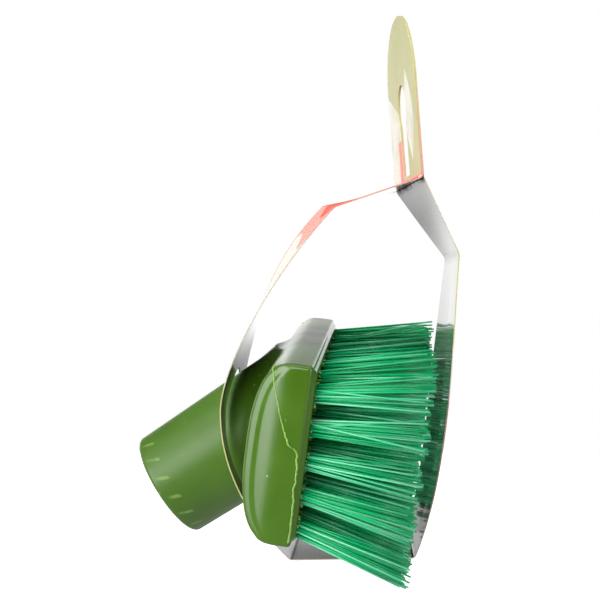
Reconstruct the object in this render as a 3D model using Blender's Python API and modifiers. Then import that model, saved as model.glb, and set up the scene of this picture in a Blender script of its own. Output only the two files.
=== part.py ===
"""A green scrub-brush head with an angled handle socket, held in a folded card sleeve with a hang tab.

Metres, +Z up, +X towards the bristle tips, +Y along the brush. The origin is the centre of the
socket's mouth. Each sub-part is one object, named as its node.
"""

import math

import bmesh
import bpy
from mathutils import Matrix, Vector
from mathutils.geometry import interpolate_bezier

# The brush head: a long block, seen in its own frame (U out of the bristle face, V up its width).
BLOCK_LENGTH = 0.144
BLOCK_HALF_WIDTH = 0.028
BLOCK_THICKNESS = 0.0177
BLOCK_SIDE_HEIGHT = 0.006
BLOCK_CENTRE = Vector((0.0528, 0.0, 0.0255))
BLOCK_TILT = math.radians(7.5)
BACK_FULLNESS = 2.5
BACK_STEPS = 16
FACE_CHAMFER = 0.0012
END_ROUNDING = 0.005
SHARP_EDGE = math.radians(60)

# The handle socket, whose mouth centre is the origin. It points down and away from the bristles.
SOCKET_SLOPE = math.radians(33.4)
SOCKET_MOUTH_RADIUS = 0.0193
SOCKET_ROOT_RADIUS = 0.0207
SOCKET_LENGTH = 0.064
SOCKET_LIP = 0.0012
LIP_CORNER = 0.3
BORE_MOUTH_RADIUS = 0.0142
BORE_END_RADIUS = 0.0130
BORE_DEPTH = 0.038
BORE_RUN_OUT = 0.002
TRIM_FROM_FACE = -0.010
TRIM_FROM_BACK = -0.014
TRIM_TOP = 0.0265
CLEAR_OF_ALL = 0.1
HOLE_CUTTER_LENGTH = 0.12
ROUND_STEPS = 40
WELD = 1e-5

# The tufts: columns across the block, each shifted half a step from the one before.
COLUMNS = 12
COLUMN_PITCH = 0.012
TUFTS_PER_COLUMN = 5
TUFT_PITCH = 0.010
COLUMN_SHIFT = 0.0025
TUFT_RADIUS = 0.0023
TIP_HALF_WIDTH = 0.0046
TRIM_HEIGHT = 0.0365
FAN_MIDDLE = math.radians(-2.5)
FAN_PER_METRE = math.radians(560)
HOLE_RADIUS = 0.0027
HOLE_DEPTH = 0.0090
TUFT_SIDES = 8
MIXED_FROM = 0.022
MIXED_HALF_THICKNESS = 0.0008

# The card sleeve: one loop of card, given by where its creases meet its two cut edges.
CARD = 0.0006
SLEEVE_HALF_WIDTH = 0.030
CREASE_GAP = 0.0007
FIT_GAP = 0.0003
CURVE_STEPS = 14
SOCKET_HOLE_RADIUS = 0.0218
TAB_STRAIGHT_HEIGHT = 0.034
TAB_ARCH_HEIGHT = 0.0245
TAB_LEAN = math.radians(4.0)
SLOT_RADIUS = 0.0085
SLOT_HALF_WIDTH = 0.0065
SLOT_BOTTOM = 0.0030
SLOT_CENTRE = 0.0265
ARCH_STEPS = 20

# Each crease: (x, z) at the near cut edge, and how far its other end is moved from there.
TAB_CREASE = ((0.0899, 0.1106), (-0.0084, -0.0051))
SHOULDER_CREASE = ((0.1020, 0.0854), (-0.0021, -0.0044))
FRONT_CREASE = ((0.0881, -0.0166), (-0.0010, -0.0044))
BACK_CREASE = ((0.0462, -0.0181), (-0.0004, -0.0044))
BACK_BELLY = ((0.0228, 0.0318), (0.0010, -0.0040))
ROOF_CREASE = ((0.0609, 0.1008), (-0.0067, -0.0006))

# Where the curved panels' handles are, as (x, z) from the near end of the point they belong to.
FRONT_TOP_PULL = (-0.0024, -0.0399)
FRONT_BOTTOM_PULL = (0.0108, 0.0279)
BACK_BOTTOM_PULL = (-0.0131, 0.0122)
BELLY_DOWN_PULL = (0.0, -0.0200)
BELLY_UP_PULL = (0.0, 0.0180)
ROOF_DOWN_PULL = (-0.0175, -0.0190)

GREEN_PLASTIC = ((0.075, 0.190, 0.022), 0.34)
GREEN_FILAMENT = ((0.006, 0.300, 0.110), 0.40)
PALE_CARD = ((0.740, 0.735, 0.690), 0.70)
PRINTED_CARD = ((0.640, 0.600, 0.270), 0.55)

assembly = bpy.data.collections.new("scrub_brush_in_card_sleeve")
cutters = bpy.data.collections.new("cutters")


def clear_scene():
    for obj in list(bpy.data.objects):
        bpy.data.objects.remove(obj)
    for collection in (assembly, cutters):
        bpy.context.scene.collection.children.link(collection)


def paint(obj, finish):
    """Gives the object a material of its own."""
    colour, roughness = finish
    material = bpy.data.materials.new(obj.name)
    material.use_nodes = True
    shader = material.node_tree.nodes["Principled BSDF"]
    shader.inputs["Base Color"].default_value = (*colour, 1.0)
    shader.inputs["Roughness"].default_value = roughness
    shader.inputs["Metallic"].default_value = 0.0
    obj.data.materials.clear()
    obj.data.materials.append(material)


def part(name, data, finish, origin=None):
    """A sub-part. Given an origin on its joint's axis, its shape stays and its origin moves there."""
    obj = bpy.data.objects.new(name, data)
    assembly.objects.link(obj)
    paint(obj, finish)
    if origin:
        data.transform(Matrix.Translation(-origin))
        obj.location = origin
    return obj


def cutter(name, mesh):
    obj = bpy.data.objects.new(name, mesh)
    cutters.objects.link(obj)
    obj.hide_render = True
    obj.display_type = "WIRE"
    return obj


def boolean(obj, operation, other):
    modifier = obj.modifiers.new(f"{operation.lower()}_{other.name}", "BOOLEAN")
    modifier.operation = operation
    modifier.object = other


def mesh_from(name, bm):
    bmesh.ops.recalc_face_normals(bm, faces=bm.faces)
    mesh = bpy.data.meshes.new(name)
    bm.to_mesh(mesh)
    bm.free()
    return mesh


def as_mesh(curve_object):
    """A curve object's welded mesh, in the world. The curve is removed."""
    bpy.context.view_layer.update()
    graph = bpy.context.evaluated_depsgraph_get()
    mesh = bpy.data.meshes.new_from_object(curve_object.evaluated_get(graph))
    mesh.transform(curve_object.matrix_world)
    bpy.data.objects.remove(curve_object)
    bm = bmesh.new()
    bm.from_mesh(mesh)
    bmesh.ops.remove_doubles(bm, verts=bm.verts, dist=WELD)
    bmesh.ops.recalc_face_normals(bm, faces=bm.faces)
    bm.to_mesh(mesh)
    bm.free()
    return mesh


def flat_outline(name, outlines, half_thickness):
    """A 2D curve object: the first outline filled, the others cut out of it."""
    curve = bpy.data.curves.new(name, "CURVE")
    curve.dimensions = "2D"
    curve.fill_mode = "BOTH"
    curve.extrude = half_thickness
    for outline in outlines:
        spline = curve.splines.new("POLY")
        spline.points.add(len(outline) - 1)
        for point, (x, y) in zip(spline.points, outline):
            point.co = (x, y, 0.0, 1.0)
        spline.use_cyclic_u = True
    obj = bpy.data.objects.new(name, curve)
    bpy.context.scene.collection.objects.link(obj)
    return obj


# The brush head ------------------------------------------------------------------------------


def block_frame():
    """Takes (u, y, v) of the block to the world."""
    return Matrix.Translation(BLOCK_CENTRE) @ Matrix.Rotation(BLOCK_TILT, 4, "Y")


def socket_frame():
    """Takes the socket's own frame, +Z out of its mouth, to the world."""
    return Matrix.Rotation(-(math.pi / 2 + SOCKET_SLOPE), 4, "Y")


def block_outline():
    """The block's cross-section: a flat bristle face, short sides and a full, rounded back."""
    inner = BLOCK_HALF_WIDTH - FACE_CHAMFER
    points = [(-FACE_CHAMFER, -BLOCK_HALF_WIDTH), (0.0, -inner)]
    points += [(u, -v) for u, v in reversed(points)]
    bulge = BLOCK_THICKNESS - BLOCK_SIDE_HEIGHT
    for step in range(BACK_STEPS + 1):
        angle = math.pi * step / BACK_STEPS
        across = math.copysign(abs(math.cos(angle)) ** (2 / BACK_FULLNESS), math.cos(angle))
        points.append((-BLOCK_SIDE_HEIGHT - bulge * math.sin(angle), BLOCK_HALF_WIDTH * across))
    return points


def make_block_mesh():
    curve = flat_outline("block_outline", [block_outline()], BLOCK_LENGTH / 2)
    curve.matrix_world = Matrix.Rotation(math.pi / 2, 4, "X")
    return as_mesh(curve)


def turned(name, profile):
    """A cutter-collection object: a profile of (radius, height), top to bottom, turned about Z."""
    bm = bmesh.new()
    points = [bm.verts.new((radius, 0.0, height)) for radius, height in profile]
    for first, second in zip(points, points[1:]):
        bm.edges.new((first, second))
    mesh = bpy.data.meshes.new(name)
    bm.to_mesh(mesh)
    bm.free()
    obj = cutter(name, mesh)
    screw = obj.modifiers.new("screw", "SCREW")
    screw.steps = ROUND_STEPS
    screw.render_steps = ROUND_STEPS
    screw.use_merge_vertices = True
    screw.merge_threshold = WELD
    obj.matrix_world = socket_frame()
    return obj


def box_cutter(name, low, high):
    """A box in the block's frame, from its low corner to its high corner."""
    bm = bmesh.new()
    bmesh.ops.create_cube(bm, size=1.0)
    low, high = Vector(low), Vector(high)
    for vert in bm.verts:
        vert.co = Vector(a if c < 0 else b for a, b, c in zip(low, high, vert.co))
    obj = cutter(name, mesh_from(name, bm))
    obj.matrix_world = block_frame()
    return obj


def make_socket_solid():
    """The socket's outer solid, run on into the block and trimmed to stay inside it."""
    profile = [
        (0.0, 0.0),
        (SOCKET_MOUTH_RADIUS - SOCKET_LIP, 0.0),
        (SOCKET_MOUTH_RADIUS - LIP_CORNER * SOCKET_LIP, -LIP_CORNER * SOCKET_LIP),
        (SOCKET_MOUTH_RADIUS, -SOCKET_LIP),
        (SOCKET_ROOT_RADIUS, -SOCKET_LENGTH),
        (0.0, -SOCKET_LENGTH),
    ]
    solid = turned("socket_solid", profile)
    beyond = (CLEAR_OF_ALL, CLEAR_OF_ALL, CLEAR_OF_ALL)
    face_side = box_cutter("face_side", (TRIM_FROM_FACE, -CLEAR_OF_ALL, -CLEAR_OF_ALL), beyond)
    upper_side = box_cutter("upper_side", (TRIM_FROM_BACK, -CLEAR_OF_ALL, TRIM_TOP), beyond)
    boolean(solid, "DIFFERENCE", face_side)
    boolean(solid, "DIFFERENCE", upper_side)
    return solid


def tuft_places(column):
    """(y, [v of each tuft]) of one column."""
    y = (column - (COLUMNS - 1) / 2) * COLUMN_PITCH
    shift = -COLUMN_SHIFT if column % 2 == 0 else COLUMN_SHIFT
    middle = (TUFTS_PER_COLUMN - 1) / 2
    return y, [(row - middle) * TUFT_PITCH + shift for row in range(TUFTS_PER_COLUMN)]


def make_hole_cutter():
    bm = bmesh.new()
    for column in range(COLUMNS):
        y, places = tuft_places(column)
        for v in places:
            across = Matrix.Translation((0.0, y, v)) @ Matrix.Rotation(math.pi / 2, 4, "Y")
            bmesh.ops.create_cone(
                bm, cap_ends=True, segments=TUFT_SIDES, radius1=HOLE_RADIUS,
                radius2=HOLE_RADIUS, depth=2 * HOLE_DEPTH, matrix=across,
            )
    obj = cutter("tuft_holes", mesh_from("tuft_holes", bm))
    obj.matrix_world = block_frame()
    return obj


def make_bore_cutter():
    profile = [
        (0.0, BORE_RUN_OUT),
        (BORE_MOUTH_RADIUS, BORE_RUN_OUT),
        (BORE_END_RADIUS, -BORE_DEPTH),
        (0.0, -BORE_DEPTH),
    ]
    return turned("handle_bore", profile)


def make_brush_head():
    head = part("brush_head", make_block_mesh(), GREEN_PLASTIC)
    head.matrix_world = block_frame()
    rounding = head.modifiers.new("end_rounding", "BEVEL")
    rounding.width = END_ROUNDING
    rounding.segments = 3
    rounding.limit_method = "ANGLE"
    rounding.angle_limit = SHARP_EDGE

    boolean(head, "UNION", make_socket_solid())
    boolean(head, "DIFFERENCE", make_bore_cutter())
    boolean(head, "DIFFERENCE", make_hole_cutter())
    return head


# The bristles --------------------------------------------------------------------------------


def fan_angle(v):
    """How far a tuft at height v on the block leans from the bristle face's normal."""
    return FAN_MIDDLE + FAN_PER_METRE * v


def centre_at(v, u):
    """Where the tuft rooted at v is, across the block, at the height u above its face."""
    return v + max(u, 0.0) * math.tan(fan_angle(v))


def add_tuft(bm, y, v):
    """One flared tuft: straight in its hole, then widening to its trimmed end."""
    stations = ((FIT_GAP - HOLE_DEPTH, TUFT_RADIUS), (0.0, TUFT_RADIUS), (TRIM_HEIGHT, TIP_HALF_WIDTH))
    rings = []
    for u, radius in stations:
        place = Matrix.Translation((u, y, centre_at(v, u))) @ Matrix.Rotation(math.pi / 2, 4, "Y")
        verts = bmesh.ops.create_circle(bm, segments=TUFT_SIDES, radius=radius, matrix=place)["verts"]
        rings.append(sorted({edge for vert in verts for edge in vert.link_edges}, key=lambda e: e.index))
    for first, second in zip(rings, rings[1:]):
        bmesh.ops.bridge_loops(bm, edges=first + second)
    bmesh.ops.holes_fill(bm, edges=rings[0] + rings[-1], sides=0)


def make_mixed_web(y, places, name):
    """The fan-shaped sheet where the filaments of a column's tufts mix."""
    bm = bmesh.new()
    bmesh.ops.create_cube(bm, size=1.0)
    for vert in bm.verts:
        u = MIXED_FROM if vert.co.x < 0 else TRIM_HEIGHT - TUFT_RADIUS
        v = places[0] if vert.co.z < 0 else places[-1]
        side = math.copysign(MIXED_HALF_THICKNESS, vert.co.y)
        vert.co = (u, y + side, centre_at(v, u))
    web = cutter(name, mesh_from(name, bm))
    web.matrix_world = block_frame()
    return web


def make_bristle_column(column):
    name = f"bristle_column_{column + 1:02d}"
    y, places = tuft_places(column)
    bm = bmesh.new()
    for v in places:
        add_tuft(bm, y, v)
    tufts = part(name, mesh_from(name, bm), GREEN_FILAMENT)
    tufts.matrix_world = block_frame()
    boolean(tufts, "UNION", make_mixed_web(y, places, f"{name}_web"))
    return tufts


# The card sleeve -----------------------------------------------------------------------------


def near_end(crease):
    (x, z), _ = crease
    return Vector((x, -SLEEVE_HALF_WIDTH, z))


def far_end(crease):
    (x, z), (shift_x, shift_z) = crease
    return Vector((x + shift_x, SLEEVE_HALF_WIDTH, z + shift_z))


def middle(crease):
    return (near_end(crease) + far_end(crease)) / 2


def moved(crease, pull):
    """A crease's place moved by a handle's pull, keeping how its far end is shifted."""
    (x, z), shift = crease
    return (x + pull[0], z + pull[1]), shift


def run_between(stops, handles):
    """Points from the first stop to the last: near and far rows, straight or through handles."""
    rows = []
    for end in (near_end, far_end):
        row = [end(stops[0])]
        for index, (first, second) in enumerate(zip(stops, stops[1:])):
            if handles:
                out, back = handles[index]
                pulled = end(moved(first, out)), end(moved(second, back))
                curve = interpolate_bezier(end(first), *pulled, end(second), CURVE_STEPS + 1)
                row.extend(curve[1:])
            else:
                row.append(end(second))
        rows.append(row)
    return rows


def shortened(row):
    """The row with both its ends drawn back from their creases."""
    row = [point.copy() for point in row]
    row[0] += (row[1] - row[0]).normalized() * CREASE_GAP
    row[-1] += (row[-2] - row[-1]).normalized() * CREASE_GAP
    return row


def make_panel(name, stops, handles=None, hinge=None):
    """A card panel between two creases: a ruled sheet between its two cut edges, thickened."""
    bm = bmesh.new()
    edges = []
    for row in run_between(stops, handles):
        verts = [bm.verts.new(point) for point in shortened(row)]
        edges.extend(bm.edges.new(pair) for pair in zip(verts, verts[1:]))
    bmesh.ops.bridge_loops(bm, edges=edges)
    panel = part(name, mesh_from(name, bm), PALE_CARD, hinge and middle(hinge))
    thickness = panel.modifiers.new("card", "SOLIDIFY")
    thickness.thickness = CARD
    thickness.offset = 0.0
    thickness.use_even_offset = True
    return panel


def make_socket_hole():
    """What cuts the round hole that the socket passes through."""
    bm = bmesh.new()
    bmesh.ops.create_cone(
        bm, cap_ends=True, segments=ROUND_STEPS, radius1=SOCKET_HOLE_RADIUS,
        radius2=SOCKET_HOLE_RADIUS, depth=HOLE_CUTTER_LENGTH,
    )
    hole = cutter("socket_hole", mesh_from("socket_hole", bm))
    hole.matrix_world = socket_frame()
    return hole


def tab_outline():
    """A straight-sided tab with an elliptical arch on top, from just above its crease."""
    points = [(-SLEEVE_HALF_WIDTH, CREASE_GAP), (SLEEVE_HALF_WIDTH, CREASE_GAP)]
    for step in range(ARCH_STEPS + 1):
        angle = math.pi * step / ARCH_STEPS
        up = TAB_STRAIGHT_HEIGHT + TAB_ARCH_HEIGHT * math.sin(angle)
        points.append((SLEEVE_HALF_WIDTH * math.cos(angle), up))
    return points


def slot_outline():
    """The hang slot: a round eye on a narrower, straight-sided throat."""
    throat = math.asin(SLOT_HALF_WIDTH / SLOT_RADIUS)
    points = [(-SLOT_HALF_WIDTH, SLOT_BOTTOM), (SLOT_HALF_WIDTH, SLOT_BOTTOM)]
    for step in range(ARCH_STEPS + 1):
        angle = throat + (2 * math.pi - 2 * throat) * step / ARCH_STEPS
        points.append((SLOT_RADIUS * math.sin(angle), SLOT_CENTRE - SLOT_RADIUS * math.cos(angle)))
    return points


def tab_frame():
    """The tab's plane: X along its crease, Y up the tab and Z out of its front."""
    near, far = near_end(TAB_CREASE), far_end(TAB_CREASE)
    along = (far - near).normalized()
    lean = Vector((-math.sin(TAB_LEAN), 0.0, math.cos(TAB_LEAN)))
    up = (lean - lean.dot(along) * along).normalized()
    out = along.cross(up)
    columns = Matrix((along, up, out)).transposed().to_4x4()
    return Matrix.Translation((near + far) / 2) @ columns


def make_tab_ply(name, offset):
    """One of the tab's two plies, offset from the plane between them."""
    ply = flat_outline(name, [tab_outline(), slot_outline()], CARD / 2)
    ply.matrix_world = tab_frame() @ Matrix.Translation((0.0, 0.0, offset))
    hinge = tab_frame() @ Vector((0.0, 0.0, offset))
    return part(name, as_mesh(ply), PRINTED_CARD, hinge)


def make_sleeve():
    back = make_panel(
        "back_panel",
        [BACK_CREASE, BACK_BELLY, ROOF_CREASE],
        [(BACK_BOTTOM_PULL, BELLY_DOWN_PULL), (BELLY_UP_PULL, ROOF_DOWN_PULL)],
    )
    boolean(back, "DIFFERENCE", make_socket_hole())
    make_panel("bottom_panel", [BACK_CREASE, FRONT_CREASE], hinge=BACK_CREASE)
    make_panel(
        "front_panel",
        [SHOULDER_CREASE, FRONT_CREASE],
        [(FRONT_TOP_PULL, FRONT_BOTTOM_PULL)],
        hinge=FRONT_CREASE,
    )
    ply_offset = (CARD + FIT_GAP) / 2
    front_ridge = moved(TAB_CREASE, (ply_offset, 0.0))
    rear_ridge = moved(TAB_CREASE, (-ply_offset, 0.0))
    make_panel("front_shoulder", [SHOULDER_CREASE, front_ridge], hinge=SHOULDER_CREASE)
    make_panel("roof_panel", [ROOF_CREASE, rear_ridge], hinge=ROOF_CREASE)
    make_tab_ply("front_tab_ply", ply_offset)
    make_tab_ply("rear_tab_ply", -ply_offset)


clear_scene()
make_brush_head()
for number in range(COLUMNS):
    make_bristle_column(number)
make_sleeve()
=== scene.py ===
"""Looks of a green scrub brush head held in a folded, printed card sleeve with a hang tab.

Sizes are in millimetres and meshes are made in metres. U, Y, V is the block's own frame: U out of
its bristle face, Y along it and V up its width.
"""

import math

import bmesh
import bpy
import numpy as np
from mathutils import Matrix, Vector
from mathutils.geometry import interpolate_bezier


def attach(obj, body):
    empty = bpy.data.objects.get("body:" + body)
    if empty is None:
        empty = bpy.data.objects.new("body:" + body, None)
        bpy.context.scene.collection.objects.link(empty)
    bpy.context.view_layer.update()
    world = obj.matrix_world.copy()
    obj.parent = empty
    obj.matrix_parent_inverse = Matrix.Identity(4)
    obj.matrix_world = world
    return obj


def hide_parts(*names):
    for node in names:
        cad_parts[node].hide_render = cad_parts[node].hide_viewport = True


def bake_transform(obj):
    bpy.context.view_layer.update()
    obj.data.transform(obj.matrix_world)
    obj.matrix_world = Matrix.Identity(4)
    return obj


MM = 0.001

# The moulding.
BLOCK_LENGTH = 144.0
BLOCK_HALF_WIDTH = 28.0
BLOCK_THICKNESS = 17.7
BLOCK_SIDE = 6.0
BLOCK_CENTRE = (52.8, 0.0, 25.5)
BLOCK_TILT = math.radians(7.5)
BACK_FULLNESS = 2.5
LONG_EDGE_RADIUS = 0.8
END_EDGE_RADIUS = 1.3
CROWN_START = 4.5
CROWN_CURVED = 7.5
CROWN_BEND = 32.0
RIM_WIDTH = 1.9
RIM_STEP = 0.5
RIM_SLOPE = (0.894, 0.447, 1.25)
PLATFORM_HEIGHT = 1.3
PLATFORM_HALF_WIDTH = 26.5
PLATFORM_HALF_LENGTH = 70.7
SOCKET_SLOPE = math.radians(33.4)
SOCKET_MOUTH_RADIUS = 19.3
SOCKET_FLARE = 0.022
SOCKET_LIP = 1.6
SOCKET_FILLET = 6.5
BORE_MOUTH_RADIUS = 14.2
BORE_TAPER = 0.030
BORE_DEPTH = 38.0
TICKS = 16
TICK_SKEW = -22.0
GRID_STEP = 0.62
GRID_OUT = (-64.0, 3.4)
GRID_UP = (-53.0, 31.0)
GRID_MIDDLE = (60.0, 110)
GRID_END = (13.2, 0.4)
FLASH_PATH = np.array([
    (-12.3, 26.0), (-11.4, 22.5), (-10.5, 19.6), (-9.3, 15.7), (-8.2, 12.2), (-6.9, 9.0),
    (-5.6, 6.2), (-4.7, 4.0), (-4.1, 3.1), (-2.8, 2.7), (-1.5, 1.5), (-1.2, -0.7),
    (-1.0, -3.5), (-0.8, -7.5), (-1.2, -10.0), (-0.7, -13.0), (-0.6, -19.0), (-0.6, -26.4),
])
FLASH_HEAVINESS = ((0, 4, 6, 8, 11, 13, 17), (0.3, 0.4, 0.7, 1.0, 0.75, 0.5, 0.6))

# The bristles.
COLUMNS = 12
COLUMN_PITCH = 12.0
TUFTS_PER_COLUMN = 5
TUFT_PITCHES = (10.4, 10.6)
COLUMN_SHIFTS = (-1.9, 0.5)
FAN_MIDDLE = math.radians(-2.5)
FAN_PER_MM = math.radians(0.56)
TRIM_HEIGHT = 37.5
LAST_EVEN_COLUMN = 8
FAR_COLUMN_GROWTH = 0.9
ROOT_DEPTH = 0.5
TUFT_SIZES = {
    "Filaments": 42, "Root radius": 2.45, "Filament radius": 0.31, "Splay": 0.024, "Ragged": 2.8,
}
BURR_SIZES = {"Crumbs": 30, "Ring radius": 3.3, "Smallest": 0.14, "Largest": 0.75}
STRAY_SHARE = 0.035
GOLDEN_ANGLE = 2.39996

# The card sleeve.
CARD = 0.42
FRONT_WARP = 2.6
BACK_WARP = 1.6
SLEEVE_HALF_WIDTH = 30.0
PLY_OFFSET = 0.215
FOLD_RADIUS = 1.0
FOLD_STEPS = 7
SOCKET_HOLE_RADIUS = 21.8
TAB_STRAIGHT = 34.0
TAB_ARCH = 24.5
TAB_LEAN = math.radians(4.0)
SLOT_RADIUS = 8.5
SLOT_HALF_WIDTH = 6.5
SLOT_BOTTOM = 3.0
SLOT_CENTRE = 26.5
TAB_CREASE = ((89.9, 110.6), (-8.4, -5.1))
SHOULDER_CREASE = ((102.0, 85.4), (-2.1, -4.4))
FRONT_CREASE = ((88.1, -16.6), (-1.0, -4.4))
BACK_CREASE = ((46.2, -18.1), (-0.4, -4.4))
BACK_BELLY = ((22.8, 31.8), (1.0, -4.0))
ROOF_CREASE = ((60.9, 100.8), (-6.7, -0.6))

# Colours.
MOULDING_GREENS = ((0.050, 0.130, 0.006), (0.064, 0.156, 0.010))
FLASH_GREENS = ((0.16, 0.36, 0.045), (0.42, 0.64, 0.16))
FILAMENT_GREENS = ((0.002, 0.310, 0.095), (0.004, 0.460, 0.160), (0.170, 0.720, 0.420))
BOARD_GREYS = ((0.150, 0.142, 0.118), (0.205, 0.195, 0.165))
BARE_FIBRES = ((0.40, 0.31, 0.23), (0.60, 0.51, 0.41))
TAB_LIMES = ((0.37, 0.365, 0.13), (0.43, 0.425, 0.17))
TAB_PALES = ((0.66, 0.66, 0.56), (0.46, 0.50, 0.36))
RED, PINK, CREAM = (0.80, 0.13, 0.09), (0.80, 0.36, 0.30), (0.74, 0.74, 0.64)
LIME, MINT = (0.56, 0.60, 0.10), (0.62, 0.70, 0.52)
PRINT_BANDS = (
    (0.0, RED), (0.32, PINK), (0.46, CREAM), (0.78, MINT), (1.02, LIME), (1.45, CREAM),
    (2.28, RED), (2.64, CREAM), (2.82, LIME), (3.14, CREAM),
)
PRINT_LENGTH = 3.5
TAB_RED_HEIGHTS = {1: 17.0, -1: 1.5}

# The studio, in metres.
FLOOR_HEIGHT = -1.0
FLOOR_RADIUS = 5.0
BACKDROP_LIGHT = 1.35
ROOM_LIGHT = 0.62
GLOW_LIGHT = 8.0
GLOW_WAY = (-0.76, -0.63, 0.16)
SOFT_LIGHTS = (
    ("left_softbox", (-0.60, -0.35, 0.85), (0.05, 0.0, 0.03), 0.90, 0.90, 2.6),
    ("top_softbox", (0.15, 0.05, 1.00), (0.05, 0.0, 0.0), 0.80, 0.80, 2.6),
    ("front_softbox", (-0.16, -0.95, 0.50), (0.03, 0.0, 0.05), 0.50, 0.50, 4.8),
    ("right_softbox", (0.90, -0.55, 0.10), (0.05, 0.0, 0.05), 0.12, 0.60, 2.5),
)

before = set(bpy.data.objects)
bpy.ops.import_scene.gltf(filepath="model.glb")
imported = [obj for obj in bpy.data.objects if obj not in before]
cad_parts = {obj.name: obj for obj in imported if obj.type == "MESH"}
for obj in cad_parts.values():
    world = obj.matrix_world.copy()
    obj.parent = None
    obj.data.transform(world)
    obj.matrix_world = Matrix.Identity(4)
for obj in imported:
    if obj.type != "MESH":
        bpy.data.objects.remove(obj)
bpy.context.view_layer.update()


# Helpers ---------------------------------------------------------------------------------------


def add(tree, kind, inputs=(), **settings):
    """A node with its settings made and its inputs given values or linked to sockets."""
    node = tree.nodes.new(kind)
    for key, value in settings.items():
        setattr(node, key, value)
    for key, value in dict(inputs).items():
        if isinstance(value, bpy.types.NodeSocket):
            tree.links.new(value, node.inputs[key])
        else:
            node.inputs[key].default_value = value
    return node


def linked(name, data):
    obj = bpy.data.objects.new(name, data)
    bpy.context.scene.collection.objects.link(obj)
    return obj


def aimed(obj, place, target):
    obj.location = place
    obj.rotation_euler = (Vector(target) - obj.location).to_track_quat("-Z", "Y").to_euler()


def piece(name, mesh, *materials):
    obj = linked(name, mesh)
    for material in materials:
        mesh.materials.append(material)
    return obj


def smooth(mesh, angle=35):
    """Smooth shading, broken where faces meet at more than the angle."""
    mesh.polygons.foreach_set("use_smooth", [True] * len(mesh.polygons))
    mesh.set_sharp_from_angle(angle=math.radians(angle))


def mesh_from(bm, name):
    """A new mesh from the bmesh, which is freed."""
    mesh = bpy.data.meshes.new(name)
    bm.to_mesh(mesh)
    bm.free()
    return mesh


def applied(obj):
    """A plain mesh of the object with its modifiers applied."""
    bpy.context.view_layer.update()
    graph = bpy.context.evaluated_depsgraph_get()
    return bpy.data.meshes.new_from_object(obj.evaluated_get(graph), depsgraph=graph)


def block_frame():
    """Takes millimetres in the block's frame to metres in the world."""
    scale = Matrix.Scale(MM, 4)
    return scale @ Matrix.Translation(BLOCK_CENTRE) @ Matrix.Rotation(BLOCK_TILT, 4, "Y")


# Materials -------------------------------------------------------------------------------------


def maths(operation, first, second=0.0):
    """A Math node's result, in the first socket's own tree. So with the next four."""
    values = {0: first, 1: second}
    return add(first.id_data, "ShaderNodeMath", values, operation=operation).outputs[0]


def product(first, *others):
    for other in others:
        first = maths("MULTIPLY", first, other)
    return first


def vector_math(operation, first, second=None, scale=None):
    inputs = {0: first}
    if second is not None:
        inputs[1] = second
    if scale is not None:
        inputs["Scale"] = scale
    node = add(first.id_data, "ShaderNodeVectorMath", inputs, operation=operation)
    return node.outputs["Value" if operation in ("DOT_PRODUCT", "LENGTH") else "Vector"]


def ramp(value, low, high, to_low=0.0, to_high=1.0, **settings):
    """The value brought from one range to another, and held inside it."""
    inputs = {"From Min": low, "From Max": high, "To Min": to_low, "To Max": to_high}
    inputs["Value"] = value
    return add(value.id_data, "ShaderNodeMapRange", inputs, **settings).outputs[0]


def mix_colour(factor, first, second):
    """A mix of two colours, each a socket or a red, green and blue."""
    colours = [c if isinstance(c, bpy.types.NodeSocket) else (*c, 1.0) for c in (first, second)]
    inputs = {0: factor, 6: colours[0], 7: colours[1]}
    return add(factor.id_data, "ShaderNodeMix", inputs, data_type="RGBA").outputs[2]


def group(name, inputs, outputs):
    """An empty shader group, the sockets it is given and the sockets it puts out."""
    tree = bpy.data.node_groups.new(name, "ShaderNodeTree")
    for label, kind, value in inputs:
        tree.interface.new_socket(label, in_out="INPUT", socket_type=kind).default_value = value
    for label in outputs:
        tree.interface.new_socket(label, in_out="OUTPUT", socket_type="NodeSocketFloat")
    return tree, tree.nodes.new("NodeGroupInput").outputs, tree.nodes.new("NodeGroupOutput").inputs


def make_speckle_group():
    """Dust and small nicks: a mask of sparse dots, and a soft mottle."""
    tree, given, made = group(
        "speckle",
        (("Scale", "NodeSocketFloat", 900.0), ("Amount", "NodeSocketFloat", 0.1)),
        ("Specks", "Mottle"),
    )
    place = add(tree, "ShaderNodeTexCoord").outputs["Object"]
    cells = add(tree, "ShaderNodeTexVoronoi", {"Vector": place, "Scale": given["Scale"]})
    draw = add(tree, "ShaderNodeSeparateColor", {0: cells.outputs["Color"]}).outputs[0]
    chosen = maths("LESS_THAN", draw, given["Amount"])
    near = ramp(cells.outputs["Distance"], 0.10, 0.24, 1.0, 0.0)
    tree.links.new(product(chosen, near), made["Specks"])
    softness = {"Scale": 60.0, "Detail": 4.0, "Roughness": 0.55}
    mottle = add(tree, "ShaderNodeTexNoise", {"Vector": place, **softness})
    tree.links.new(mottle.outputs[0], made["Mottle"])
    return tree


def make_grain_group():
    """A fine, even surface grain, as a height."""
    tree, given, made = group(
        "grain",
        (("Scale", "NodeSocketFloat", 2500.0), ("Stretch", "NodeSocketVector", (1.0, 1.0, 1.0))),
        ("Height",),
    )
    place = add(tree, "ShaderNodeTexCoord").outputs["Object"]
    stretched = vector_math("MULTIPLY", place, given["Stretch"])
    grains = {"Vector": stretched, "Scale": given["Scale"], "Detail": 3.0}
    tree.links.new(add(tree, "ShaderNodeTexNoise", grains).outputs[0], made["Height"])
    return tree


def principled(name, **values):
    """A material, its tree and its Principled shader with plain values set."""
    material = bpy.data.materials.new(name)
    material.use_nodes = True
    tree = material.node_tree
    shader = tree.nodes["Principled BSDF"]
    for key, value in values.items():
        shader.inputs[key.replace("_", " ")].default_value = value
    return material, tree, shader


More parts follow.
